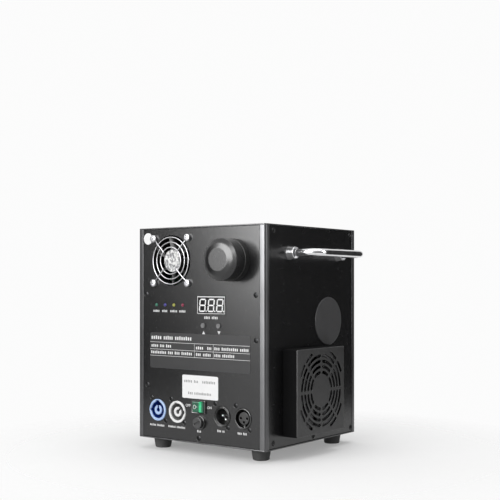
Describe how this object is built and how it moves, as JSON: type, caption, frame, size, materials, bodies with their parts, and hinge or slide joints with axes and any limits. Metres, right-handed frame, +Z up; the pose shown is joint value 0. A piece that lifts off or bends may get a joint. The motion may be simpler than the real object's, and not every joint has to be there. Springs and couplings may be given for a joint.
{
  "type": "cold spark machine",
  "caption": "Upright floor-standing stage effects box with a central spark outlet on top, granule filler cap, fans, side carrying handle and a socket row",
  "frame": {"origin": "Middle of the object's bounding box on the floor, under its four feet", "axes": "+Z up along the spark outlet, -Y out of the panel with the display, switch and sockets, +X out of the side with the carrying handle"},
  "size_m": [0.22, 0.206, 0.252],
  "materials": {
    "black_paint": "satin black powder coat on sheet metal",
    "foot_rubber": "matte black moulded rubber",
    "bare_steel": "bare brushed stainless steel",
    "motor_steel": "plain zinc-plated steel",
    "heater_ceramic": "unglazed off-white ceramic",
    "black_plastic": "fine matte black moulding",
    "cap_plastic": "satin black turned plastic",
    "seal_rubber": "soft black sealing rubber",
    "guard_wire": "bright plated steel wire",
    "window_plastic": "dark grey matte window",
    "circuit_board": "green solder mask",
    "handle_chrome": "polished chrome plating",
    "display_window": "dark glossy window over white digits",
    "button_plastic": "grey push buttons",
    "lamp_green": "clear green lens",
    "lamp_blue": "clear blue lens",
    "lamp_yellow": "clear yellow lens",
    "lamp_red": "clear red lens",
    "blue_plastic": "glossy blue moulding",
    "white_plastic": "glossy grey-white moulding",
    "socket_black": "semi-gloss black moulding",
    "rocker_green": "translucent green lens, lit from behind",
    "fuse_cap_plastic": "black cap with a coin slot",
    "fuse_glass": "clear glass tube"
  },
  "bodies": {
    "housing": {"base_plate": "black_paint", "top_plate": "black_paint", "post_control_left": "black_paint", "post_control_right": "black_paint", "post_far_left": "black_paint", "post_far_right": "black_paint", "foot_control_left": "foot_rubber", "foot_control_right": "foot_rubber", "foot_far_left": "foot_rubber", "foot_far_right": "foot_rubber", "control_panel": "black_paint", "handle_panel": "black_paint", "plain_panel": "black_paint", "far_panel": "black_paint", "outlet_ring": "bare_steel", "spark_tube": "bare_steel", "spark_chamber": "bare_steel", "heater_band": "heater_ceramic", "blower_housing": "black_plastic", "blower_motor": "motor_steel", "auger_tube": "bare_steel", "gear_motor": "motor_steel", "hopper": "bare_steel", "filler_neck": "black_plastic", "panel_fan_frame": "black_plastic", "fan_guard": "guard_wire", "side_fan_frame": "black_plastic", "side_fan_cover": "black_paint", "reader_window": "window_plastic", "reader_board": "circuit_board", "handle_bar": "handle_chrome", "handle_boss_near": "handle_chrome", "handle_boss_far": "handle_chrome", "control_board": "circuit_board", "display": "display_window", "lamp_green": "lamp_green", "lamp_blue": "lamp_blue", "lamp_yellow": "lamp_yellow", "lamp_red": "lamp_red", "power_in_socket": "blue_plastic", "power_out_socket": "white_plastic", "data_in_socket": "socket_black", "data_out_socket": "socket_black", "switch_body": "socket_black", "fuse_holder": "socket_black", "power_supply": "motor_steel", "driver_board": "circuit_board"},
    "cap_lift": {"cap_liner": "seal_rubber"},
    "cap": {"filler_cap": "cap_plastic"},
    "auger": {"feed_auger": "bare_steel"},
    "impeller": {"blower_impeller": "black_plastic"},
    "small_rotor": {"panel_fan_rotor": "black_plastic"},
    "large_rotor": {"side_fan_rotor": "black_plastic"},
    "up_button": {"button_up": "button_plastic"},
    "down_button": {"button_down": "button_plastic"},
    "rocker": {"switch_rocker": "rocker_green"},
    "fuse": {"glass_fuse": "fuse_glass"},
    "fuse_knob": {"fuse_cap": "fuse_cap_plastic"}
  },
  "joints": [
    {"name": "cap_lift_slide", "type": "slide", "parent": "housing", "child": "cap_lift", "axis": [0, -1, 0], "range_m": [0, 0.0131]},
    {"name": "cap_turn", "type": "hinge", "parent": "cap_lift", "child": "cap", "pos_m": [0.0272, -0.0916, 0.2128], "axis": [0, -1, 0], "range_deg": [0, 1170]},
    {"name": "auger_turn", "type": "hinge", "parent": "housing", "child": "auger", "pos_m": [0.025, 0.013, 0.1275], "axis": [1, 0, 0], "continuous": true},
    {"name": "impeller_turn", "type": "hinge", "parent": "housing", "child": "impeller", "pos_m": [-0.039, 0.013, 0.0465], "axis": [0, 1, 0], "continuous": true},
    {"name": "small_fan_turn", "type": "hinge", "parent": "housing", "child": "small_rotor", "pos_m": [-0.0606, -0.0666, 0.2133], "axis": [0, -1, 0], "continuous": true},
    {"name": "large_fan_turn", "type": "hinge", "parent": "housing", "child": "large_rotor", "pos_m": [0.0766, 0.0025, 0.071], "axis": [1, 0, 0], "continuous": true},
    {"name": "up_button_press", "type": "slide", "parent": "housing", "child": "up_button", "axis": [0, 1, 0], "range_m": [0, 0.0008], "stiffness_N_per_m": 500, "springref_m": -0.001},
    {"name": "down_button_press", "type": "slide", "parent": "housing", "child": "down_button", "axis": [0, 1, 0], "range_m": [0, 0.0008], "stiffness_N_per_m": 500, "springref_m": -0.001},
    {"name": "rocker_tilt", "type": "hinge", "parent": "housing", "child": "rocker", "pos_m": [-0.0199, -0.0751, 0.0529], "axis": [0, 0, 1], "range_deg": [-16, 0]},
    {"name": "fuse_pull", "type": "slide", "parent": "housing", "child": "fuse", "axis": [0, -1, 0], "range_m": [0, 0.03]},
    {"name": "fuse_cap_turn", "type": "hinge", "parent": "fuse", "child": "fuse_knob", "pos_m": [-0.0184, -0.0766, 0.0359], "axis": [0, -1, 0], "range_deg": [0, 90]}
  ],
  "couplings": [
    {"joint": "cap_lift_slide", "follows": "cap_turn", "m_per_rad": 0.00063662}
  ]
}
